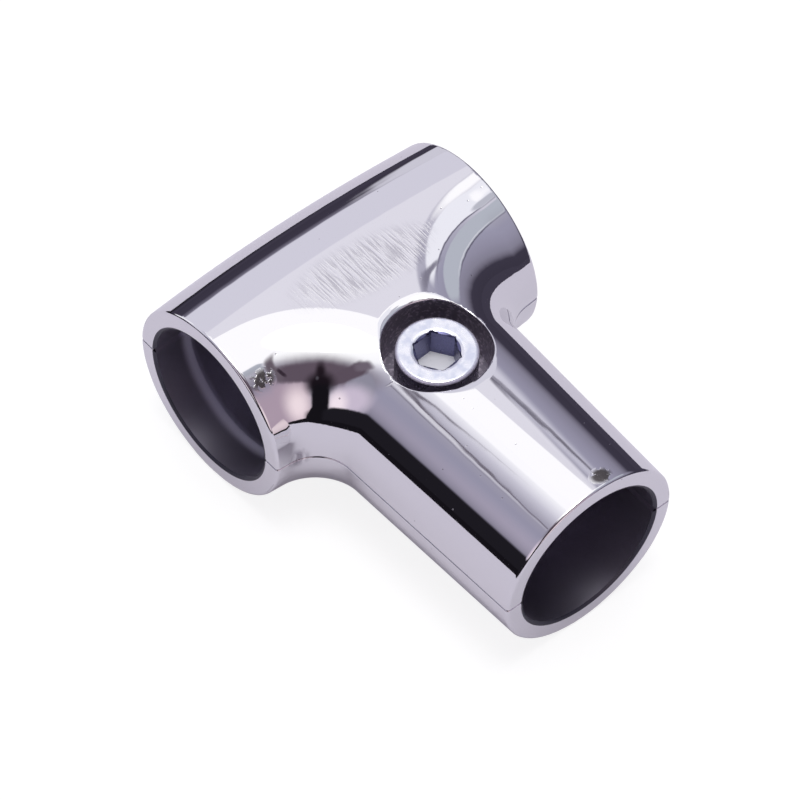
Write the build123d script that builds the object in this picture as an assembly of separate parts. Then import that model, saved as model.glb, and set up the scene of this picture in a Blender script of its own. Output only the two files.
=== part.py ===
from build123d import *
from math import degrees, radians, tan
import os

# Two-piece tube clamp tee: a straight-through run with a stem standing off its
# side, split along the plane of both tube axes and drawn together by one
# socket-head cap screw. All sizes are in millimetres.
#
# Frame: the origin is where the run's axis and the stem's axis cross.
# +X lies along the run, the stem leaves towards -Y, and +Z points up the
# screw, out of its head.

# The tubes and the outer form
TUBE_D = 20.0             # outside diameter of the tubes the fitting joins
TUBE_CLEARANCE = 0.15     # radial room round a tube when the halves are shut
SIDE_R = 12.7             # radius of the rounded sides, the half height and the mouths
RUN_HALF = 20.5           # from the stem's axis to either end of the run
RUN_CROWN = 0.9           # how far each side of the run swells at its middle
STEM_LENGTH = 45.2        # from the run's axis to the stem's mouth
STEM_SWELL = 1.6          # how far each side has swelled where it meets the run's axis
CROTCH_R = 5.1            # blend in plan between the stem and the run
LIP = 0.3                 # broken inner edge of each mouth

# Inside the bores
RELIEF_DEPTH = 0.4        # how far the wall steps back between the lands
RUN_LAND = 5.4            # gripping land inside each end of the run
STEM_LAND = 7.1           # gripping land inside the stem's mouth
STEM_REAR_LAND = 3.0      # gripping land against the stem's stop wall
STOP_WALL_Y = -26.5       # the wall that a tube in the stem butts against

# The parting line
NOTCH = 0.5               # half width of the V groove where it meets the bores

# The M6 x 16 socket-head cap screw and its seat
SCREW_Y = -17.3
SCREW_TURN = 3.5          # degrees by which the tightened socket is turned
THREAD_R = 3.0
HEAD_R = 5.0
HEAD_HEIGHT = 6.0
HEAD_TOP_Z = 11.35
HEAD_EDGE = 0.25          # broken top edge of the head
SHANK_LENGTH = 16.0
POINT_CHAMFER = 0.7
SOCKET_FLATS = 5.0
SOCKET_DEPTH = 4.0
SOCKET_LEAD_R = 3.1       # mouth of the socket's lead-in cone
SOCKET_LEAD_DEPTH = 0.35
SEAT_R = 6.7              # counterbore round the head
DISH_DEPTH = 0.45         # polished dish between the flat top and the counterbore
DISH_SLOPE = 35           # degrees
CLEARANCE_HOLE_R = 3.3
TAPPED_END_ROOM = 0.6     # tapped hole left empty under the screw's point

BORE_R = TUBE_D / 2 + TUBE_CLEARANCE
RELIEF_R = BORE_R + RELIEF_DEPTH
SEAT_Z = HEAD_TOP_Z - HEAD_HEIGHT
POINT_Z = SEAT_Z - SHANK_LENGTH
TAPPED_END_Z = POINT_Z - TAPPED_END_ROOM
BEYOND = 2 * SIDE_R      # a height above everything that a cut goes through


def rod(radius, start, end):
    """A round bar between two points."""
    along = Vector(*end) - Vector(*start)
    section = Plane(origin=start, z_dir=along) * Circle(radius)
    return extrude(section, amount=along.length)


def screw_rod(radius, z_low, z_high):
    return rod(radius, (0, SCREW_Y, z_low), (0, SCREW_Y, z_high))


def plan_core():
    """The flat top: the outline in plan, drawn in by the radius of the sides."""
    run = make_face(
        ThreePointArc((RUN_HALF, 0), (0, RUN_CROWN), (-RUN_HALF, 0))
        + ThreePointArc((-RUN_HALF, 0), (0, -RUN_CROWN), (RUN_HALF, 0))
    )
    stem = make_face(
        Polyline((0, -STEM_LENGTH), (STEM_SWELL, 0), (-STEM_SWELL, 0), close=True)
    )
    core = run + stem
    crotches = core.vertices().filter_by(
        lambda corner: abs(corner.X) < RUN_HALF / 2 and abs(corner.Y) < STEM_LENGTH / 2
    )
    return fillet(crotches, CROTCH_R + SIDE_R)


def quarter_round(foot, outward):
    """Upright section of a side, from the split plane up to the flat top."""
    up = Vector(0, 0, 1)
    tip, crest = foot + outward * SIDE_R, foot + up * SIDE_R
    shoulder = foot + (outward + up).normalized() * SIDE_R
    arc = ThreePointArc(tip, shoulder, crest)
    return make_face(Line(foot, tip) + arc + Line(crest, foot))


def rounded_side(edge):
    """The side outside one edge of the flat top, straight or turned."""
    along = edge.tangent_at(0)
    section = quarter_round(edge.position_at(0), along.cross(Vector(0, 0, 1)))
    if edge.geom_type == GeomType.LINE:
        return extrude(section, amount=edge.length, dir=along)
    centre = edge.arc_center
    turning = (edge.position_at(0) - centre).cross(along)
    angle = degrees(edge.length / edge.radius)
    return revolve(section, axis=Axis(centre, turning), revolution_arc=angle)


def outer_half():
    """The upper half before it is bored: one smooth casting."""
    core = plan_core()
    tee = extrude(core, amount=SIDE_R, dir=(0, 0, 1))
    for edge in core.face().outer_wire().edges():
        tee += rounded_side(edge)
    reach = 2 * STEM_LENGTH
    return tee & Pos(0, reach / 2 - STEM_LENGTH, 0) * Box(2 * RUN_HALF, reach, reach)


def run_bore():
    """Through bore: a flared lip and a land at each end, relieved between."""
    relief = RUN_HALF - RUN_LAND
    right = [
        (0, RELIEF_R),
        (relief, RELIEF_R),
        (relief, BORE_R),
        (RUN_HALF - LIP, BORE_R),
        (RUN_HALF, BORE_R + LIP),
        (RUN_HALF, 0),
    ]
    left = [(-x, r) for x, r in reversed(right)]
    return revolve(make_face(Polyline(*left[:-1], *right, close=True)), axis=Axis.X)


def stem_bore():
    """Blind bore: a lip and a land at the mouth, a land at the stop wall."""
    profile = Polyline(
        (0, -STEM_LENGTH),
        (BORE_R + LIP, -STEM_LENGTH),
        (BORE_R, -STEM_LENGTH + LIP),
        (BORE_R, -STEM_LENGTH + STEM_LAND),
        (RELIEF_R, -STEM_LENGTH + STEM_LAND),
        (RELIEF_R, STOP_WALL_Y - STEM_REAR_LAND),
        (BORE_R, STOP_WALL_Y - STEM_REAR_LAND),
        (BORE_R, STOP_WALL_Y),
        (0, STOP_WALL_Y),
        close=True,
    )
    return revolve(make_face(profile), axis=Axis.Y)


def seam_notches():
    """V grooves along the lines where the joint meets the bores."""
    side = NOTCH * 2 ** 0.5
    grooves = []
    for edge in (-BORE_R, BORE_R):
        by_run = Plane((-RUN_HALF, edge, 0), x_dir=(0, 1, 1), z_dir=(1, 0, 0))
        by_stem = Plane((edge, -STEM_LENGTH, 0), x_dir=(1, 0, 1), z_dir=(0, 1, 0))
        grooves.append(extrude(by_run * Rectangle(side, side), amount=2 * RUN_HALF))
        grooves.append(
            extrude(by_stem * Rectangle(side, side), amount=STOP_WALL_Y + STEM_LENGTH)
        )
    return grooves


def shell_half():
    """The upper half bored for the tubes; the lower one is its mirror image."""
    return outer_half() - run_bore() - stem_bore() - seam_notches()


def upper_shell(half):
    """The half that holds the screw's head in a counterbore with a dished rim."""
    seat = screw_rod(SEAT_R, SEAT_Z, BEYOND)
    dish_r = SEAT_R + 2 * DISH_DEPTH / tan(radians(DISH_SLOPE))
    dish = Pos(0, SCREW_Y, SIDE_R) * Cone(SEAT_R, dish_r, 2 * DISH_DEPTH)
    return half - dish - seat - screw_rod(CLEARANCE_HOLE_R, 0, SEAT_Z)


def lower_shell(half):
    """The half that is tapped for the screw, blind so that its back is whole."""
    return mirror(half, about=Plane.XY) - screw_rod(THREAD_R, TAPPED_END_Z, 0)


def hex_socket():
    """A hexagonal socket with a lead-in cone at its mouth."""
    top = Plane((0, SCREW_Y, HEAD_TOP_Z)) * Rot(0, 0, SCREW_TURN)
    hexagon = RegularPolygon(SOCKET_FLATS / 2, 6, major_radius=False)
    lead_in = Cone(SOCKET_LEAD_R - SOCKET_LEAD_DEPTH, SOCKET_LEAD_R, SOCKET_LEAD_DEPTH)
    return [
        extrude(top * hexagon, amount=-SOCKET_DEPTH),
        top * Pos(0, 0, -SOCKET_LEAD_DEPTH / 2) * lead_in,
    ]


def clamp_screw():
    """The cap screw, its thread drawn as a plain cylinder."""
    head = screw_rod(HEAD_R, SEAT_Z, HEAD_TOP_Z)
    head = chamfer(head.edges().sort_by(Axis.Z)[-1], HEAD_EDGE)
    shank = screw_rod(THREAD_R, POINT_Z, SEAT_Z)
    shank = chamfer(shank.edges().sort_by(Axis.Z)[0], POINT_CHAMFER)
    return head + shank - hex_socket()


def main():
    os.makedirs("parts", exist_ok=True)
    half = shell_half()
    nodes = {
        "upper_shell": upper_shell(half),
        "lower_shell": lower_shell(half),
        "clamp_screw": clamp_screw(),
    }
    for name, solid in nodes.items():
        export_step(solid, f"parts/{name}.step")


if __name__ == "__main__":
    main()
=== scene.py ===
"""Tube clamp tee fitting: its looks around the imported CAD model."""
import math

import bpy
import numpy as np
from mathutils import Matrix, Vector


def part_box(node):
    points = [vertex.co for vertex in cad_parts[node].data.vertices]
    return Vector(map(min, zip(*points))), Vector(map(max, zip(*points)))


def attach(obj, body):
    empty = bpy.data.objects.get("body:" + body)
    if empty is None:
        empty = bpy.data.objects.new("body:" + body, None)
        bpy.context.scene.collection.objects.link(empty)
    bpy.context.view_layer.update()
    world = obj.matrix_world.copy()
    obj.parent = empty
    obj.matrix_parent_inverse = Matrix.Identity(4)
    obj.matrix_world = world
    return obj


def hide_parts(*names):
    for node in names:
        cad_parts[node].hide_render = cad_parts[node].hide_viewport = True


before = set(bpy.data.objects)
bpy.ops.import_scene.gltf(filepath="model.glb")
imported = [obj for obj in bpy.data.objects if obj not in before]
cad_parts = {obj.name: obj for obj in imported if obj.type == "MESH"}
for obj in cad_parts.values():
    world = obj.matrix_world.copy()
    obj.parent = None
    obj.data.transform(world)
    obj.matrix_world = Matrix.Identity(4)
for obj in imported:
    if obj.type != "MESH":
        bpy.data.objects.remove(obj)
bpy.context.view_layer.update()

MM = 0.001

# ---------------------------------------------------------------- sizes, in mm
shell_low, shell_high = (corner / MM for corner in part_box("upper_shell"))
screw_low, screw_high = (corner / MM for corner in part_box("clamp_screw"))

SIDE_R = shell_high.z
RUN_HALF = shell_high.x
RUN_CROWN = shell_high.y - SIDE_R
STEM_LENGTH = -shell_low.y
STEM_SWELL = 1.6
CROTCH_R = 5.1

BORE_R = 10.15
RELIEF_R = 10.55
RUN_LAND = 5.4
STEM_LAND = 7.1
STEM_REAR_LAND = 3.0
STOP_WALL_Y = -26.5
LIP = 0.3
NOTCH = 0.5

SCREW_Y = (screw_low.y + screw_high.y) / 2
HEAD_R = (screw_high.y - screw_low.y) / 2
HEAD_TOP = screw_high.z
HEAD_HEIGHT = 6.0
HEAD_SEAT = HEAD_TOP - HEAD_HEIGHT
THREAD_R = 3.0
POINT_Z = screw_low.z
POINT_CHAMFER = 0.7
SOCKET_FLATS = 5.0
SOCKET_DEPTH = 4.0
SOCKET_LEAD_R = 3.1
SOCKET_LEAD_SLOPE = math.radians(25)
SCREW_TURN = math.radians(3.5)
SEAT_R = 6.7
DISH_DEPTH = 0.32
DISH_SLOPE = math.radians(35)
CLEARANCE_HOLE_R = 3.3
TAPPED_END_ROOM = 0.6
TAPPED_END_Z = POINT_Z - TAPPED_END_ROOM

# radii of the rounded edges
RIM_ROUND = 0.4
SEAM_ROUND = 0.25
SEAT_ROUND = 0.12
DISH_ROUND = 0.35
INNER_ROUND = 0.06
HEAD_ROUND = 0.45

# longest edges of the mesh: on plain faces, at rounded edges, and how fast
# they grow away from an edge once past its rounding
BASE_EDGE = 2.0
FINE_EDGE = 0.34
EDGE_GROWTH = 1.2
ROUNDING_REACH = 1.2


# ------------------------------------------------ shapes as distances, in mm
# A shape is a function of points that is negative inside it. Each also notes
# how fine a mesh must be near its rounded edges.
class Shape:
    """Distances of some points from a solid, and the mesh size they ask for."""

    def __init__(self, distance, size=None):
        self.distance = distance
        self.size = np.full(len(distance), BASE_EDGE) if size is None else size


def common(first, second, radius):
    """What two shapes share, with the edge between them rounded."""
    a, b = first.distance + radius, second.distance + radius
    outside = np.hypot(np.maximum(a, 0), np.maximum(b, 0))
    distance = outside + np.minimum(np.maximum(a, b), 0) - radius
    from_edge = np.maximum(np.abs(first.distance), np.abs(second.distance))
    past_rounding = np.maximum(from_edge - ROUNDING_REACH * radius, 0)
    near = max(radius / 2, FINE_EDGE) + EDGE_GROWTH * past_rounding
    return Shape(distance, np.minimum(np.minimum(first.size, second.size), near))


def without(first, second, radius):
    """The first shape with the second cut away."""
    return common(first, Shape(-second.distance, second.size), radius)


def together(*distances):
    """The distance from everything that any of the shapes holds."""
    return np.minimum.reduce(distances)


def within(*distances):
    """The distance from what all the shapes share."""
    return np.maximum.reduce(distances)


BLEND_ROUNDS = 20


class PlanCore:
    """The flat top of a shell in plan, and the distance outside it."""

    def __init__(self):
        self.crown_r = (RUN_HALF ** 2 + RUN_CROWN ** 2) / (2 * RUN_CROWN)
        self.crown_y = self.crown_r - RUN_CROWN
        self.blend_r = CROTCH_R + SIDE_R
        length = math.hypot(STEM_LENGTH, STEM_SWELL)
        self.line_normal = np.array([STEM_LENGTH, -STEM_SWELL]) / length
        self.blend_centre = self.find_blend_centre()

    def find_blend_centre(self):
        """Where the blend's circle touches the stem's side and the run's arc."""
        reach = self.crown_r + self.blend_r
        y = -self.blend_r
        for _ in range(BLEND_ROUNDS):
            start = -STEM_LENGTH * self.line_normal[1]
            x = (self.blend_r + start - y * self.line_normal[1]) / self.line_normal[0]
            y = self.crown_y - math.sqrt(reach ** 2 - x ** 2)
        return np.array([x, y])

    def distance(self, x, y):
        x = np.abs(x)
        centre = self.blend_centre
        to_blend = self.blend_r - np.hypot(x - centre[0], y - centre[1])
        to_front = np.hypot(x, y - self.crown_y) - self.crown_r
        to_back = np.hypot(x, y + self.crown_y) - self.crown_r
        to_side = x * self.line_normal[0] + (y + STEM_LENGTH) * self.line_normal[1]
        past_line = (y - centre[1]) * self.line_normal[0] < (x - centre[0]) * self.line_normal[1]
        past_arc = (x - centre[0]) * (self.crown_y - centre[1]) > -centre[0] * (y - centre[1])
        front = np.where(past_line, to_side, np.where(past_arc, to_front, to_blend))
        return np.maximum(np.where(y > 0, to_back, front), 0)


CORE = PlanCore()


def bore(radius, along, mouth, land):
    """A bore's distance; along runs towards its mouth."""
    plain = radius - BORE_R
    relief = within(radius - RELIEF_R, along - (mouth - land))
    lip = (radius - BORE_R - (along - (mouth - LIP))) / math.sqrt(2)
    return together(plain, relief, lip)


def run_bore(x, y, z):
    return bore(np.hypot(y, z), np.abs(x), RUN_HALF, RUN_LAND)


def stem_bore(x, y, z):
    radius = np.hypot(x, z)
    plain = radius - BORE_R
    relief = within(
        radius - RELIEF_R,
        -STEM_LENGTH + STEM_LAND - y,
        y - (STOP_WALL_Y - STEM_REAR_LAND),
    )
    lip = (radius - BORE_R + y + STEM_LENGTH - LIP) / math.sqrt(2)
    return within(together(plain, relief, lip), y - STOP_WALL_Y)


def seam_notches(x, y, z):
    by_run = np.abs(np.abs(y) - BORE_R) + np.abs(z) - NOTCH
    by_stem = np.abs(np.abs(x) - BORE_R) + np.abs(z) - NOTCH
    return together(by_run, within(by_stem, y - STOP_WALL_Y)) / math.sqrt(2)


def shell(points):
    """The upper half, bored for the tubes, without its screw holes."""
    x, y, z = points.T
    side = Shape(np.hypot(CORE.distance(x, y), z) - SIDE_R)
    mouths = Shape(within(np.abs(x) - RUN_HALF, -y - STEM_LENGTH))
    solid = common(side, mouths, RIM_ROUND)
    solid = common(solid, Shape(-z), SEAM_ROUND)
    hollow = together(run_bore(x, y, z), stem_bore(x, y, z), seam_notches(x, y, z))
    return without(solid, Shape(hollow), INNER_ROUND)


def upper_shell(points):
    z = points[:, 2]
    from_screw = np.hypot(points[:, 0], points[:, 1] - SCREW_Y)
    out = (from_screw - SEAT_R) * math.sin(DISH_SLOPE)
    up = (z - SIDE_R + DISH_DEPTH) * math.cos(DISH_SLOPE)
    solid = without(shell(points), Shape(out - up), DISH_ROUND)
    seat = Shape(within(from_screw - SEAT_R, HEAD_SEAT - z))
    solid = without(solid, seat, SEAT_ROUND)
    return without(solid, Shape(from_screw - CLEARANCE_HOLE_R), INNER_ROUND)


def lower_shell(points):
    solid = shell(points * (1, 1, -1))
    from_screw = np.hypot(points[:, 0], points[:, 1] - SCREW_Y)
    hole = within(from_screw - THREAD_R, TAPPED_END_Z - points[:, 2])
    return without(solid, Shape(hole), INNER_ROUND)


def cap_screw(points):
    x, y, z = points.T
    y = y - SCREW_Y
    radius = np.hypot(x, y)
    head = common(Shape(radius - HEAD_R), Shape(z - HEAD_TOP), HEAD_ROUND)
    head = common(head, Shape(HEAD_SEAT - z), INNER_ROUND)
    flats = [
        x * math.cos(turn) + y * math.sin(turn)
        for turn in SCREW_TURN + math.radians(30) + np.arange(6) * math.radians(60)
    ]
    hexagon = within(within(*flats) - SOCKET_FLATS / 2, HEAD_TOP - SOCKET_DEPTH - z)
    lead_out = (radius - SOCKET_LEAD_R) * math.sin(SOCKET_LEAD_SLOPE)
    lead_in = lead_out - (z - HEAD_TOP) * math.cos(SOCKET_LEAD_SLOPE)
    head = without(head, Shape(together(hexagon, lead_in)), INNER_ROUND)
    shank = within(radius - THREAD_R, z - HEAD_SEAT, POINT_Z - z)
    point = (radius - THREAD_R + POINT_CHAMFER - (z - POINT_Z)) / math.sqrt(2)
    return Shape(together(head.distance, within(shank, point)), head.size)


# -------------------------------------------------------- meshes from shapes
SLOPE_STEP = 0.0005
LEAST_STEEPNESS = 0.25
NORMAL_INSET = 0.08


def distance_and_slope(shape, points, step=SLOPE_STEP):
    here = shape(points).distance
    ahead = [shape(points + axis).distance for axis in np.eye(3) * step]
    return here, (np.stack(ahead, axis=1) - here[:, None]) / step


def settled(shape, points, rounds=2):
    """The points moved along the slope onto the shape's surface."""
    for _ in range(rounds):
        distance, slope = distance_and_slope(shape, points)
        steep = np.maximum((slope ** 2).sum(axis=1), LEAST_STEEPNESS)
        points = points - slope * (distance / steep)[:, None]
    return points


def split_long_edges(shape, points, faces):
    """One round of halving every edge that is longer than its place allows."""
    pairs = np.sort(faces[:, [[0, 1], [1, 2], [2, 0]]], axis=2).reshape(-1, 2)
    edges, of_face = np.unique(pairs, axis=0, return_inverse=True)
    of_face = of_face.reshape(-1, 3)
    middles = points[edges].mean(axis=1)
    lengths = np.linalg.norm(points[edges[:, 0]] - points[edges[:, 1]], axis=1)
    long = lengths > FINE_EDGE
    long[long] = lengths[long] > shape(middles[long]).size
    if not long.any():
        return points, faces, False
    numbers = np.full(len(edges), -1)
    numbers[long] = len(points) + np.arange(long.sum())
    points = np.concatenate([points, settled(shape, middles[long])])
    cut = numbers[of_face]
    made = []
    count = (cut >= 0).sum(axis=1)
    made.append(faces[count == 0])
    for turn in range(3):
        a, b, c = (np.roll(faces, -turn, axis=1)[:, k] for k in range(3))
        ab, bc, ca = (np.roll(cut, -turn, axis=1)[:, k] for k in range(3))
        one = (count == 1) & (ab >= 0)
        made.append(np.stack([a, ab, c], axis=1)[one])
        made.append(np.stack([ab, b, c], axis=1)[one])
        two = (count == 2) & (ca < 0)
        made.append(np.stack([ab, b, bc], axis=1)[two])
        made.append(np.stack([a, ab, bc], axis=1)[two])
        made.append(np.stack([a, bc, c], axis=1)[two])
    three = count == 3
    a, b, c = faces[three].T
    ab, bc, ca = cut[three].T
    for corner in ((a, ab, ca), (ab, b, bc), (ca, bc, c), (ab, bc, ca)):
        made.append(np.stack(corner, axis=1))
    return points, np.concatenate(made), True


def corner_normals(shape, points, faces):
    """Normals taken a little inside each face, so that true corners stay sharp."""
    corners = points[faces]
    centres = corners.mean(axis=1, keepdims=True)
    inside = (corners + (centres - corners) * NORMAL_INSET).reshape(-1, 3)
    slope = distance_and_slope(shape, inside)[1]
    return slope / np.linalg.norm(slope, axis=1, keepdims=True)


def welded(mesh):
    """A CAD mesh's points in mm and its triangles, with doubled points joined."""
    co = np.empty(len(mesh.vertices) * 3, np.float32)
    mesh.vertices.foreach_get("co", co)
    corners = np.empty(len(mesh.loops), np.int32)
    mesh.loops.foreach_get("vertex_index", corners)
    rounded = np.round(co.reshape(-1, 3).astype(float) / MM, 4)
    points, joined = np.unique(rounded, axis=0, return_inverse=True)
    faces = joined.reshape(-1)[corners].reshape(-1, 3)
    distinct = (
        (faces[:, 0] != faces[:, 1]) & (faces[:, 1] != faces[:, 2]) & (faces[:, 2] != faces[:, 0])
    )
    return points, faces[distinct]


def refined_piece(name, node, shape):
    """A piece that stands for a CAD node, with the true curve of its surface."""
    points, faces = welded(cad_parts[node].data)
    points = settled(shape, points)
    growing = True
    while growing:
        points, faces, growing = split_long_edges(shape, points, faces)
    mesh = bpy.data.meshes.new(name)
    mesh.from_pydata((points * MM).tolist(), [], faces.tolist())
    mesh.shade_smooth()
    mesh.normals_split_custom_set(corner_normals(shape, points, faces).tolist())
    piece = bpy.data.objects.new(name, mesh)
    bpy.context.scene.collection.objects.link(piece)
    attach(piece, "root")
    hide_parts(node)
    print(name, len(faces), "triangles")
    return piece


# ----------------------------------------------------------------- materials
class Nodes:
    """A short way to build a node material."""

    def __init__(self, tree):
        self.tree = tree
        self.tree.nodes.clear()

    def add(self, kind, **settings):
        node = self.tree.nodes.new(kind)
        for name, value in settings.items():
            if hasattr(node, name):
                setattr(node, name, value)
            else:
                node.inputs[name.replace("_", " ")].default_value = value
        return node

    def link(self, source, target):
        self.tree.links.new(source, target)

    def calculate(self, operation, *values):
        """The output of a Math node whose inputs are sockets or numbers."""
        node = self.tree.nodes.new("ShaderNodeMath")
        node.operation = operation
        for value, socket in zip(values, node.inputs):
            if isinstance(value, (int, float)):
                socket.default_value = value
            else:
                self.link(value, socket)
        return node.outputs[0]

    def fill_ramp(self, ramp, stops):
        elements = ramp.color_ramp.elements
        while len(elements) < len(stops):
            elements.new(1)
        for element, (place, tone) in zip(elements, stops):
            element.position = place
            element.color = tone


def new_material(name):
    material = bpy.data.materials.new(name)
    material.use_nodes = True
    return material, Nodes(material.node_tree)


def part_axes(n):
    """The place on the part in mm, whole and as three sockets."""
    place = n.add("ShaderNodeVectorMath", operation="SCALE", Scale=1 / MM)
    n.link(n.add("ShaderNodeTexCoord").outputs["Object"], place.inputs[0])
    axes = n.add("ShaderNodeSeparateXYZ")
    n.link(place.outputs[0], axes.inputs[0])
    return place.outputs[0], axes.outputs["X"], axes.outputs["Y"], axes.outputs["Z"]


def radius_of(n, a, b):
    """The distance from the axis that two coordinates are measured from."""
    squares = n.calculate("ADD", n.calculate("MULTIPLY", a, a), n.calculate("MULTIPLY", b, b))
    return n.calculate("SQRT", squares)


# how far paint reaches past the edge of its form, in mm
BORE_MARGIN = 0.05
HOLE_MARGIN = 0.04
SOCKET_MARGIN = 0.05
FLOOR_MARGIN = 0.03


def in_tube_bores(n, x, y, z):
    """1 inside the run's and the stem's bores and on their lips."""
    edge = RELIEF_R + BORE_MARGIN
    in_run = n.calculate("LESS_THAN", radius_of(n, y, z), edge)
    by_stem = n.calculate("LESS_THAN", radius_of(n, x, z), edge)
    before_wall = n.calculate("LESS_THAN", y, STOP_WALL_Y + BORE_MARGIN)
    return n.calculate("MAXIMUM", in_run, n.calculate("MULTIPLY", by_stem, before_wall))


def in_screw_hole(n, x, y, z):
    """1 in the upper shell's counterbore and clearance hole."""
    from_screw = radius_of(n, x, n.calculate("SUBTRACT", y, SCREW_Y))
    near = n.calculate("LESS_THAN", from_screw, SEAT_R + HOLE_MARGIN)
    return n.calculate("MULTIPLY", near, n.calculate("GREATER_THAN", z, 0))


def from_mouth(n, x, y):
    """How far a point is from the nearest of the three mouths."""
    to_run = n.calculate("SUBTRACT", RUN_HALF, n.calculate("ABSOLUTE", x))
    to_stem = n.calculate("ADD", y, STEM_LENGTH)
    return n.calculate("MINIMUM", to_run, to_stem)


def fade(n, value, full, gone):
    """1 where a value is at full, 0 where it has reached gone."""
    ramp = n.add("ShaderNodeMapRange", interpolation_type="SMOOTHSTEP")
    n.link(value, ramp.inputs["Value"])
    ramp.inputs["From Min"].default_value = gone
    ramp.inputs["From Max"].default_value = full
    return ramp.outputs["Result"]


def noise(n, place, scale, detail, stretch=(1, 1, 1)):
    """A noise from 0 to 1 with its scale in cycles a mm, drawn out by stretch."""
    drawn = n.add("ShaderNodeMapping")
    drawn.inputs["Scale"].default_value = stretch
    n.link(place, drawn.inputs["Vector"])
    texture = n.add("ShaderNodeTexNoise", Scale=scale, Detail=detail)
    n.link(drawn.outputs[0], texture.inputs["Vector"])
    return texture.outputs["Fac"]


def mixed_colour(n, factor, under, over):
    """A colour laid over another; each is a socket or a tuple."""
    mix = n.add("ShaderNodeMix", data_type="RGBA")
    n.link(factor, mix.inputs["Factor"])
    for colour, name in ((under, "A"), (over, "B")):
        if isinstance(colour, tuple):
            mix.inputs[name].default_value = colour
        else:
            n.link(colour, mix.inputs[name])
    return mix.outputs["Result"]


def mixed_value(n, factor, under, over):
    """A value laid over another; each is a socket or a number."""
    change = n.calculate("SUBTRACT", over, under)
    return n.calculate("ADD", under, n.calculate("MULTIPLY", factor, change))


def laid_over(mixed, n, under, coats):
    """What shows once each coat, a share and what it lays on, covers the last."""
    for share, over in coats:
        under = mixed(n, share, under, over)
    return under


def own_axes(n, place, centre, reach, turn):
    """A place seen from a turned oval, whose edge is at a length of 1."""
    oval = n.add("ShaderNodeMapping", vector_type="TEXTURE")
    oval.inputs["Location"].default_value = centre
    oval.inputs["Rotation"].default_value = (0, 0, math.radians(turn))
    oval.inputs["Scale"].default_value = reach
    n.link(place, oval.inputs["Vector"])
    return oval.outputs[0]


def length_of(n, vector):
    length = n.add("ShaderNodeVectorMath", operation="LENGTH")
    n.link(vector, length.inputs[0])
    return length.outputs["Value"]


def patch(n, place, centre, reach, turn, full):
    """1 in an oval's middle, up to the full share of its reach, and 0 outside it."""
    from_centre = length_of(n, own_axes(n, place, centre, reach, turn))
    return fade(n, from_centre, full=full, gone=1.0)


def bumped(n, layers):
    """A normal with layers of relief: each a height from 0 to 1 and its mm."""
    normal = None
    for height, depth in layers:
        bump = n.add("ShaderNodeBump", Strength=1.0)
        bump.inputs["Distance"].default_value = depth * MM
        n.link(height, bump.inputs["Height"])
        if normal is not None:
            n.link(normal, bump.inputs["Normal"])
        normal = bump.outputs[0]
    return normal


def finish_metal(n, colour, metallic, roughness, relief):
    """Ends a metal's nodes with its shader."""
    shader = n.add("ShaderNodeBsdfPrincipled")
    n.link(colour, shader.inputs["Base Color"])
    n.link(metallic, shader.inputs["Metallic"])
    n.link(roughness, shader.inputs["Roughness"])
    n.link(bumped(n, relief), shader.inputs["Normal"])
    n.link(shader.outputs[0], n.add("ShaderNodeOutputMaterial").inputs[0])


# the plating's colours
CHROME = (0.80, 0.795, 0.81, 1)
PIT_METAL = (0.45, 0.43, 0.46, 1)
BORE_METAL = (0.40, 0.38, 0.45, 1)
# painted shade: the lips are near black, as dark as the shaded inside of the bores
LIP_SHADE = (0.07, 0.068, 0.085, 1)
HOLE_METAL = (0.33, 0.30, 0.36, 1)
HOLE_PALE = (0.62, 0.56, 0.64, 1)
# painted highlight: a pale, half-dull ring in the run's bore
BORE_HIGHLIGHT_COLOUR = (0.86, 0.85, 0.98, 1)
# painted reflection: the dark colour of two rough spots by the mouths
REFLECTION_SPOT_COLOUR = (0.11, 0.10, 0.10, 1)
SCUFFED_METAL = (0.42, 0.40, 0.44, 1)
BRUSHED_METAL = (0.55, 0.54, 0.57, 1)

# its roughness, bright chrome from clear to clouded
CLEAR_ROUGHNESS = 0.015
CLOUDED_ROUGHNESS = 0.05
BRUSHED_ROUGHNESS = 0.2
SCUFFED_ROUGHNESS = 0.3
REFLECTION_SPOT_ROUGHNESS = 0.45
WORN_ROUGHNESS = 0.22
HIDDEN_ROUGHNESS = 0.4

# heights of its relief in mm
RIPPLE_RELIEF = 0.006
BRUSHED_RELIEF = 0.009
PIT_RELIEF = -0.01
CAST_RELIEF = 0.012
SPOT_RELIEF = 0.06

# where the plating is not bright, or shows a painted reflection: centre, reach
# and turn about Z of an oval, and the share of its reach over which it is full
BRUSHED_PATCH = ((0.8, -3.2, 12.7), (12, 4.6, 0.7), -6, 0.45)
REFLECTION_SPOT_BY_RUN = ((-18.2, -7.2, 10.4), (2.0, 1.5, 1.6), 0, 0.5)
REFLECTION_SPOT_BY_STEM = ((2.2, -43.7, 12.5), (1.8, 1.3, 1.2), 0, 0.5)
SCUFFED_BY_SEAM = ((-17.4, -13.0, 0.4), (2.0, 1.4, 2.0), 0, 0.3)

# the worn rims, the ring of painted highlight inside the run and the pits:
# widths in mm, and the pits' scale in cycles a mm
RIM_WEAR = 0.5
HIGHLIGHT_FROM_RELIEF = 0.4
HIGHLIGHT_RING_X = RUN_HALF - RUN_LAND + HIGHLIGHT_FROM_RELIEF
HIGHLIGHT_HALF_WIDTH = 1.4
HIGHLIGHT_METALLIC = 0.55
PITS_SCALE = 0.42


def brushed_grain(n, place):
    """Strokes along the stem on the flat top."""
    strokes = noise(n, place, scale=1, detail=4, stretch=(4.2, 0.35, 1))
    brushed = patch(n, place, *BRUSHED_PATCH)
    return n.calculate("MULTIPLY", brushed, fade(n, strokes, full=0.66, gone=0.36))


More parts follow.
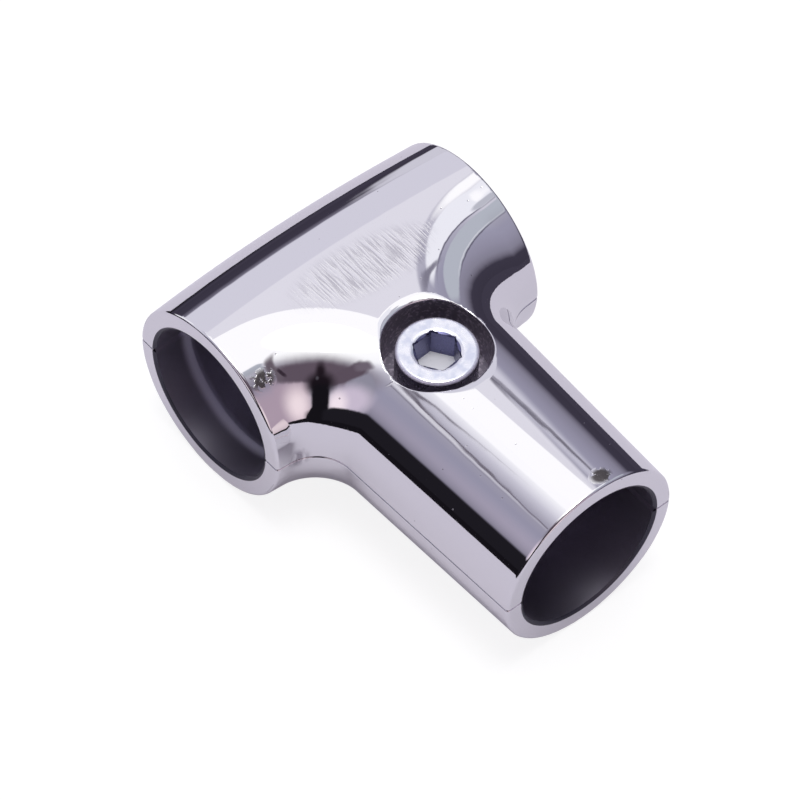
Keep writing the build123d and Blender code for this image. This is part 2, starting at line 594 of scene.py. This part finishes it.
def painted_reflection_spots(n, place, spot_texture):
    """Painted reflection: dark, rough spots beside two of the mouths."""
    by_run = patch(n, place, *REFLECTION_SPOT_BY_RUN)
    by_stem = patch(n, place, *REFLECTION_SPOT_BY_STEM)
    spots = n.calculate("MAXIMUM", by_run, by_stem)
    return n.calculate("MULTIPLY", spots, fade(n, spot_texture, full=0.5, gone=0.42))


def scuffed_spot(n, place):
    """Scratches beside the seam at a mouth of the run."""
    scratches = noise(n, place, scale=1, detail=3, stretch=(1, 1.4, 0.5))
    spot = patch(n, place, *SCUFFED_BY_SEAM)
    return n.calculate("MULTIPLY", spot, fade(n, scratches, full=0.62, gone=0.4))


def highlight_rings(n, x, tubes):
    """A painted highlight: a pale, half-dull ring inside each mouth of the run."""
    from_middle = n.calculate("ABSOLUTE", x)
    from_ring = n.calculate("ABSOLUTE", n.calculate("SUBTRACT", from_middle, HIGHLIGHT_RING_X))
    return n.calculate("MULTIPLY", tubes, fade(n, from_ring, full=0.1, gone=HIGHLIGHT_HALF_WIDTH))


def chrome():
    """Bright chrome outside and thin dark plating in the bores and the hole, with painted shade
    on the bores' lips, a painted highlight ring in the run and a painted reflection in two spots
    by the mouths.
    """
    material, n = new_material("bright_chrome")
    place, x, y, z = part_axes(n)
    tubes = in_tube_bores(n, x, y, z)
    hole = in_screw_hole(n, x, y, z)
    hidden = n.calculate("MAXIMUM", tubes, hole)
    to_mouth = from_mouth(n, x, y)
    shaded_lips = n.calculate("MULTIPLY", tubes, n.calculate("LESS_THAN", to_mouth, LIP))

    ripple = noise(n, place, scale=0.22, detail=1)
    clouds = noise(n, place, scale=0.5, detail=2)
    cast = noise(n, place, scale=2.2, detail=3)
    spot_texture = noise(n, place, scale=1.4, detail=3)
    cells = n.add("ShaderNodeTexVoronoi", Scale=PITS_SCALE)
    n.link(place, cells.inputs["Vector"])
    pits = fade(n, cells.outputs["Distance"], full=0.03, gone=0.05)
    grain = brushed_grain(n, place)
    reflection_spots = painted_reflection_spots(n, place, spot_texture)
    scuffed = scuffed_spot(n, place)
    bore_highlight = highlight_rings(n, x, tubes)
    worn = n.calculate("MULTIPLY", fade(n, to_mouth, full=0.1, gone=RIM_WEAR), clouds)

    cast_skin = mixed_colour(n, fade(n, cast, full=0.66, gone=0.5), HOLE_METAL, HOLE_PALE)
    # the coats hold painted reflection spots, a painted highlight ring and painted shade on the
    # lips
    coats = (
        (pits, PIT_METAL),
        (grain, BRUSHED_METAL),
        (reflection_spots, REFLECTION_SPOT_COLOUR),
        (scuffed, SCUFFED_METAL),
        (tubes, BORE_METAL),
        (bore_highlight, BORE_HIGHLIGHT_COLOUR),
        (shaded_lips, LIP_SHADE),
        (hole, cast_skin),
    )
    textures = (
        (clouds, CLOUDED_ROUGHNESS),
        (grain, BRUSHED_ROUGHNESS),
        (scuffed, SCUFFED_ROUGHNESS),
        (reflection_spots, REFLECTION_SPOT_ROUGHNESS),
        (worn, WORN_ROUGHNESS),
        (hidden, HIDDEN_ROUGHNESS),
    )
    relief = (
        (ripple, RIPPLE_RELIEF),
        (grain, BRUSHED_RELIEF),
        (pits, PIT_RELIEF),
        (n.calculate("MULTIPLY", hidden, cast), CAST_RELIEF),
        (n.calculate("MULTIPLY", reflection_spots, spot_texture), SPOT_RELIEF),
    )
    colour = laid_over(mixed_colour, n, CHROME, coats)
    roughness = laid_over(mixed_value, n, CLEAR_ROUGHNESS, textures)
    metallic = mixed_value(n, bore_highlight, 1, HIGHLIGHT_METALLIC)
    finish_metal(n, colour, metallic, roughness, relief)
    return material


# the screw's colours, roughness and relief
ZINC_PALE = (0.90, 0.91, 0.94, 1)
ZINC_BLUE = (0.67, 0.70, 0.80, 1)
# painted reflection: lavender on the head's rounded edge, made less metallic so that it shows
ZINC_EDGE_REFLECTION = (0.74, 0.72, 0.86, 1)
ZINC_SHADED = (0.34, 0.33, 0.40, 1)
# painted shade on the socket's walls
SOCKET_WALL_SHADE = (0.13, 0.13, 0.24, 1)
# painted highlight: the socket's floor is white and not metallic, so that it looks lit
SOCKET_FLOOR_HIGHLIGHT = (0.95, 0.95, 1.0, 1)
ZINC_SMOOTHEST = 0.2
ZINC_ROUGHEST = 0.36
ZINC_RELIEF = 0.003

# where the painted reflection on its edge and the painted shade and highlight
# in its socket begin, as depths below its top
EDGE_FULL_DEPTH = 0.42
EDGE_GONE_DEPTH = 0.5
SOCKET_PAINT_DEPTH = 0.12
EDGE_WIDTH = 0.4
EDGE_REFLECTION_DULLNESS = 0.7


def zinc():
    """Satin zinc with a blue cast, painted shade on the socket's walls, a painted highlight on
    the socket's floor and a painted reflection on the head's rounded edge.
    """
    material, n = new_material("satin_zinc")
    place, x, y, z = part_axes(n)
    radius = radius_of(n, x, n.calculate("SUBTRACT", y, SCREW_Y))
    by_axis = n.calculate("LESS_THAN", radius, SOCKET_LEAD_R - SOCKET_MARGIN)
    below_lead = n.calculate("LESS_THAN", z, HEAD_TOP - SOCKET_PAINT_DEPTH)
    above_floor = n.calculate("GREATER_THAN", z, HEAD_TOP - SOCKET_DEPTH + FLOOR_MARGIN)
    socket = n.calculate("MULTIPLY", by_axis, below_lead)
    walls = n.calculate("MULTIPLY", socket, above_floor)
    floor = n.calculate("SUBTRACT", socket, walls)

    mottle = noise(n, place, scale=0.9, detail=4)
    crystals = noise(n, place, scale=6, detail=2)
    turned = noise(n, place, scale=0.6, detail=2, stretch=(1, 1, 6))
    to_side = n.calculate("SUBTRACT", HEAD_R, radius)
    at_side = fade(n, to_side, full=0.05, gone=EDGE_WIDTH)
    on_top = fade(n, z, full=HEAD_TOP - EDGE_FULL_DEPTH, gone=HEAD_TOP - EDGE_GONE_DEPTH)
    edge_reflection = n.calculate("MULTIPLY", at_side, on_top)
    below = n.calculate("LESS_THAN", z, HEAD_TOP - HEAD_ROUND)
    # the coats hold a painted reflection on the edge, painted shade on the socket's walls and a
    # painted highlight on its floor
    coats = (
        (fade(n, mottle, full=0.7, gone=0.35), ZINC_BLUE),
        (edge_reflection, ZINC_EDGE_REFLECTION),
        (below, ZINC_SHADED),
        (walls, SOCKET_WALL_SHADE),
        (floor, SOCKET_FLOOR_HIGHLIGHT),
    )
    colour = laid_over(mixed_colour, n, ZINC_PALE, coats)
    dull = n.calculate("MAXIMUM", floor, n.calculate("MULTIPLY", edge_reflection, EDGE_REFLECTION_DULLNESS))
    metallic = n.calculate("SUBTRACT", 1, dull)
    roughness = mixed_value(n, mottle, ZINC_SMOOTHEST, ZINC_ROUGHEST)
    relief = ((crystals, ZINC_RELIEF), (turned, ZINC_RELIEF))
    finish_metal(n, colour, metallic, roughness, relief)
    return material


# -------------------------------------------------------------------- pieces
upper = refined_piece("upper_casting", "upper_shell", upper_shell)
lower = refined_piece("lower_casting", "lower_shell", lower_shell)
screw = refined_piece("cap_screw", "clamp_screw", cap_screw)
shell_material = chrome()
upper.data.materials.append(shell_material)
lower.data.materials.append(shell_material)
screw.data.materials.append(zinc())

# -------------------------------------------------------------------- camera
CAMERA_AZIMUTH = math.radians(-42.47)
CAMERA_ELEVATION = math.radians(53.4)
CAMERA_ROLL = math.radians(2.56)
CAMERA_DISTANCE = 700
CAMERA_TARGET = Vector((-2.45, -13.9, 0))
CAMERA_LENS = 264.7


def add_camera():
    a, e = CAMERA_AZIMUTH, CAMERA_ELEVATION
    back = Vector((math.sin(a) * math.cos(e), -math.cos(a) * math.cos(e), math.sin(e)))
    level = Vector((math.cos(a), math.sin(a), 0))
    upright = back.cross(level)
    right = level * math.cos(CAMERA_ROLL) + upright * math.sin(CAMERA_ROLL)
    up = back.cross(right)
    data = bpy.data.cameras.new("camera")
    data.lens = CAMERA_LENS
    data.sensor_width = 36
    data.clip_start = 0.05
    data.clip_end = 10
    camera = bpy.data.objects.new("camera", data)
    place = Matrix((right, up, back)).transposed().to_4x4()
    place.translation = (CAMERA_TARGET + back * CAMERA_DISTANCE) * MM
    camera.matrix_world = place
    bpy.context.scene.collection.objects.link(camera)
    bpy.context.scene.camera = camera


add_camera()

# --------------------------------------------------------------------- stage
# The part lies on a white card on a dark table, in a light tent: a bright roof
# with a softbox and a lamp in it, grey walls, and an opening in front with the
# camera in it. Only the part shows them: the camera sees plain white.
# Directions are degrees: azimuth 0 is towards -Y, 90 is towards +X.

# the floor and the card on it, in metres
FLOOR_HALF = 0.6
CARD_LOW = (-0.135, -0.3)
CARD_HIGH = (0.1, 0.12)

WHITE = (1, 1, 1, 1)
CARD_COLOUR = (0.60, 0.58, 0.64, 1)
CARD_GLOW = (0.95, 0.92, 1, 1)
CARD_GLOW_STRENGTH = 0.1
PAPER_COLOUR = (0.22, 0.22, 0.22, 1)
PAPER_GLOW_STRENGTH = 0.84

# how much of the light that meets the chrome it throws back
CHROME_SHARE = 0.8


def seen_as(red, green, blue):
    """The light that looks like this display colour in the chrome."""
    light = []
    for level in (red / 255, green / 255, blue / 255):
        linear = level / 12.92 if level < 0.04045 else ((level + 0.055) / 1.055) ** 2.4
        light.append(linear / CHROME_SHARE)
    return (*light, 1)


DARK = seen_as(20, 18, 23)
TABLE_ON_RIGHT = seen_as(60, 56, 70)

TENT_BY_ELEVATION = [
    (-90, DARK),
    (9, seen_as(58, 54, 68)),
    (14, seen_as(112, 108, 124)),
    (18, seen_as(130, 127, 144)),
    (27, seen_as(142, 139, 158)),
    (40, seen_as(152, 150, 170)),
    (50, seen_as(172, 170, 186)),
    (58, seen_as(198, 196, 209)),
    (63, seen_as(228, 227, 235)),
    (66, seen_as(248, 248, 251)),
    (74, seen_as(255, 255, 255)),
]

OVAL = True
PANEL = False

# what stands out from the tent, each painted over the last: its form, azimuth,
# elevation, half width, half height, tilt, softness of its edge and colour
TENT_DETAILS = {
    "rear wall, right": (PANEL, 158, 33, 35.5, 17.5, 0, 0.15, seen_as(206, 204, 217)),
    "rear wall, left": (PANEL, -156, 33, 26, 17.5, 0, 0.3, seen_as(206, 204, 217)),
    "rear wall, lit": (PANEL, -172, 20, 14, 15, 0, 0.3, seen_as(242, 241, 247)),
    "rear wall's end": (PANEL, 139, 8.5, 15.6, 9.5, 0, 0.1, seen_as(200, 198, 210)),
    "rear glow": (PANEL, 152, 64.5, 36, 10, 0, 0.2, seen_as(253, 252, 255)),
    "rear glow, left": (PANEL, -173, 70, 14, 8, 0, 0.35, seen_as(252, 251, 255)),
    "rear roof": (PANEL, 146, 51, 15, 3.8, 0, 0.35, seen_as(220, 218, 228)),
    "side wall, top": (PANEL, 74, 45, 40, 8.5, -27, 0.12, seen_as(176, 180, 191)),
    "side roof": (PANEL, 94, 60, 27, 9.5, -24, 0.12, seen_as(234, 234, 242)),
    "sky over the side": (PANEL, 85, 70.5, 58, 8, 0, 0.12, seen_as(253, 252, 255)),
    "side roof's end": (OVAL, 76, 62, 7, 3.5, -10, 0.3, seen_as(184, 185, 196)),
    "side fold": (PANEL, 70, 37.3, 24, 0.7, -27, 0.9, seen_as(100, 97, 114)),
    "side fold's crease": (PANEL, 71, 38.9, 24, 0.5, -27, 0.9, seen_as(205, 205, 214)),
    "side roof fold": (PANEL, 89, 51.5, 20, 0.7, -24, 0.9, seen_as(110, 107, 124)),
    "rear corner fold": (PANEL, 116, 47, 12, 0.9, 14, 0.9, seen_as(125, 122, 138)),
    "rear corner": (PANEL, 127, 45.8, 7, 0.28, 41, 0.7, seen_as(108, 105, 118)),
    "rear corner's crease": (PANEL, 126.3, 44.6, 7, 0.2, 41, 0.7, seen_as(140, 137, 150)),
    "rear corner, left": (PANEL, -134, 54.8, 13, 0.25, -30, 0.7, seen_as(92, 86, 98)),
    "rear hem, left": (PANEL, -134.4, 54.1, 12, 0.45, -30, 0.6, seen_as(222, 221, 230)),
    "rear hem's edge": (PANEL, -134.8, 53.3, 12, 0.2, -30, 0.7, seen_as(120, 118, 130)),
    "dome over the opening": (OVAL, -40, 52, 70, 17, 0, 0.5, seen_as(92, 80, 92)),
    "left wall": (PANEL, -92, 36, 18, 21, 0, 0.3, seen_as(140, 138, 153)),
    "front wall, left": (OVAL, -84, 26, 26, 15, -6, 0.5, seen_as(198, 186, 204)),
    "front wall, lit": (OVAL, -66, 19, 13, 13, -30, 0.7, seen_as(240, 226, 234)),
    "front wall, right": (PANEL, -1, 19, 27, 25, 0, 0.5, seen_as(168, 150, 165)),
    "front wall's glow": (OVAL, -10, 17, 16, 18, 0, 0.8, seen_as(236, 219, 224)),
    "foot of the wall": (PANEL, -29, 7, 14, 4.5, -48, 0.4, DARK),
    "gap under the wall": (PANEL, -3, -1.2, 25, 1.8, -5, 0.4, DARK),
    "opening": (PANEL, -30, 51.5, 48, 9.5, 0, 0.45, seen_as(92, 80, 92)),
    "opening, left": (PANEL, -78, 53, 26, 6.5, -22, 0.45, seen_as(90, 78, 90)),
    "opening's corner": (PANEL, 22, 57, 18, 4, 38, 0.8, seen_as(100, 90, 100)),
    "opening's tail": (PANEL, -100, 62, 13, 3.5, -12, 0.8, seen_as(108, 98, 110)),
    "camera": (OVAL, -41, 54, 6, 8.5, 8, 0.7, seen_as(34, 26, 33)),
    "opening's strut": (PANEL, 9, 53, 7, 1.6, 32, 0.8, seen_as(52, 42, 52)),
    "photographer": (OVAL, -41, 40, 18, 12, -8, 0.5, seen_as(26, 20, 26)),
    "lens": (OVAL, -37, 46, 1.8, 2, 0, 0.6, seen_as(72, 68, 76)),
    "tripod": (PANEL, -42, 18, 12.5, 22, 0, 0.35, DARK),
    "table": (PANEL, -46, 0, 26, 11, 0, 0.5, DARK),
    "dark floor": (PANEL, -88, 2, 42, 13.5, 0, 0.2, seen_as(28, 26, 32)),
}

# the lights in the roof: the elevation where each begins and its level
ROOF_LIGHTS = ((73, 3.5), (79, 11))
LIGHT_EDGE = 4

# how far the tent's folds shift what is on it, in degrees
CHART_WOBBLE = 1.1
WRINKLE_SCALE = 16


def add_world():
    """The tent, drawn on a chart of azimuth and elevation."""
    world = bpy.data.worlds.new("studio")
    world.use_nodes = True
    world.cycles.sampling_method = "MANUAL"
    world.cycles.sample_map_resolution = 256
    bpy.context.scene.world = world
    n = Nodes(world.node_tree)
    direction = n.add("ShaderNodeTexCoord").outputs["Generated"]
    parts = n.add("ShaderNodeSeparateXYZ")
    n.link(direction, parts.inputs[0])
    rise = n.calculate("ARCSINE", parts.outputs["Z"])
    elevation = n.calculate("DEGREES", rise)
    towards = n.calculate("MULTIPLY", parts.outputs["Y"], -1)
    turn = n.calculate("ARCTAN2", parts.outputs["X"], towards)
    azimuth = n.calculate("DEGREES", turn)
    chart = n.add("ShaderNodeCombineXYZ")
    n.link(azimuth, chart.inputs["X"])
    n.link(elevation, chart.inputs["Y"])
    wrinkles = n.add("ShaderNodeTexNoise", Scale=WRINKLE_SCALE, Detail=2)
    n.link(direction, wrinkles.inputs["Vector"])
    shift = n.add("ShaderNodeVectorMath", operation="MULTIPLY_ADD")
    n.link(wrinkles.outputs["Color"], shift.inputs[0])
    shift.inputs[1].default_value = (CHART_WOBBLE, CHART_WOBBLE, 0)
    n.link(chart.outputs[0], shift.inputs[2])

    share = n.add("ShaderNodeMapRange", From_Min=-90, From_Max=90)
    n.link(elevation, share.inputs["Value"])
    ramp = n.add("ShaderNodeValToRGB")
    n.fill_ramp(ramp, [((height + 90) / 180, tone) for height, tone in TENT_BY_ELEVATION])
    n.link(share.outputs["Result"], ramp.inputs["Fac"])
    colour = ramp.outputs["Color"]
    for detail in TENT_DETAILS.values():
        colour = add_detail(n, shift.outputs[0], colour, *detail)
    for start, level in ROOF_LIGHTS:
        lit = fade(n, elevation, full=start + LIGHT_EDGE, gone=start)
        colour = mixed_colour(n, lit, colour, (level, level, level, 1))

    by_camera = n.add("ShaderNodeLightPath").outputs["Is Camera Ray"]
    background = n.add("ShaderNodeBackground")
    n.link(mixed_colour(n, by_camera, colour, WHITE), background.inputs["Color"])
    n.link(background.outputs[0], n.add("ShaderNodeOutputWorld").inputs[0])


def add_detail(n, chart, under, oval, azimuth, elevation, width, height, tilt, softness, tone):
    """Paints one soft-edged oval or round-cornered panel over what is under it."""
    own = own_axes(n, chart, (azimuth, elevation, 0), (width, height, 1), tilt)
    squares = n.add("ShaderNodeVectorMath", operation="MULTIPLY")
    n.link(own, squares.inputs[0])
    n.link(own, squares.inputs[1])
    reach = length_of(n, own if oval else squares.outputs[0])
    return mixed_colour(n, fade(n, reach, full=1 - softness, gone=1 + softness), under, tone)


def inside_card(n, x, y):
    """1 where a point is on the white card and 0 beyond it."""
    inside = None
    for value, low, high in zip((x, y), CARD_LOW, CARD_HIGH):
        above = n.calculate("GREATER_THAN", value, low)
        below = n.calculate("LESS_THAN", value, high)
        both = n.calculate("MULTIPLY", above, below)
        inside = both if inside is None else n.calculate("MULTIPLY", inside, both)
    return inside


def floor_material():
    """White to the camera, and a card on a dark table in the chrome."""
    material, n = new_material("white_floor")
    light = n.add("ShaderNodeLightPath")
    axes = n.add("ShaderNodeSeparateXYZ")
    n.link(n.add("ShaderNodeTexCoord").outputs["Object"], axes.inputs[0])
    x, y = axes.outputs["X"], axes.outputs["Y"]
    card = n.add("ShaderNodeBsdfDiffuse")
    card.inputs["Color"].default_value = CARD_COLOUR
    glow = n.add("ShaderNodeEmission", Strength=CARD_GLOW_STRENGTH)
    glow.inputs["Color"].default_value = CARD_GLOW
    lit_card = n.add("ShaderNodeAddShader")
    n.link(card.outputs[0], lit_card.inputs[0])
    n.link(glow.outputs[0], lit_card.inputs[1])
    table = n.add("ShaderNodeEmission", Strength=1)
    to_right = fade(n, x, full=CARD_HIGH[0], gone=0)
    n.link(mixed_colour(n, to_right, DARK, TABLE_ON_RIGHT), table.inputs["Color"])
    mirrored = n.add("ShaderNodeMixShader")
    n.link(inside_card(n, x, y), mirrored.inputs[0])
    n.link(table.outputs[0], mirrored.inputs[1])
    n.link(lit_card.outputs[0], mirrored.inputs[2])

    paper = n.add("ShaderNodeBsdfDiffuse")
    paper.inputs["Color"].default_value = PAPER_COLOUR
    white = n.add("ShaderNodeEmission", Strength=PAPER_GLOW_STRENGTH)
    backdrop = n.add("ShaderNodeAddShader")
    n.link(paper.outputs[0], backdrop.inputs[0])
    n.link(white.outputs[0], backdrop.inputs[1])

    shown = n.add("ShaderNodeMixShader")
    n.link(light.outputs["Is Camera Ray"], shown.inputs[0])
    n.link(mirrored.outputs[0], shown.inputs[1])
    n.link(backdrop.outputs[0], shown.inputs[2])
    n.link(shown.outputs[0], n.add("ShaderNodeOutputMaterial").inputs[0])
    return material


def add_floor():
    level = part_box("lower_shell")[0].z
    signs = ((-1, -1), (1, -1), (1, 1), (-1, 1))
    corners = [(x * FLOOR_HALF, y * FLOOR_HALF, level) for x, y in signs]
    mesh = bpy.data.meshes.new("floor")
    mesh.from_pydata(corners, [], [(0, 1, 2, 3)])
    mesh.materials.append(floor_material())
    floor = bpy.data.objects.new("floor", mesh)
    bpy.context.scene.collection.objects.link(floor)


add_world()
add_floor()
bpy.context.scene.view_settings.view_transform = "Standard"
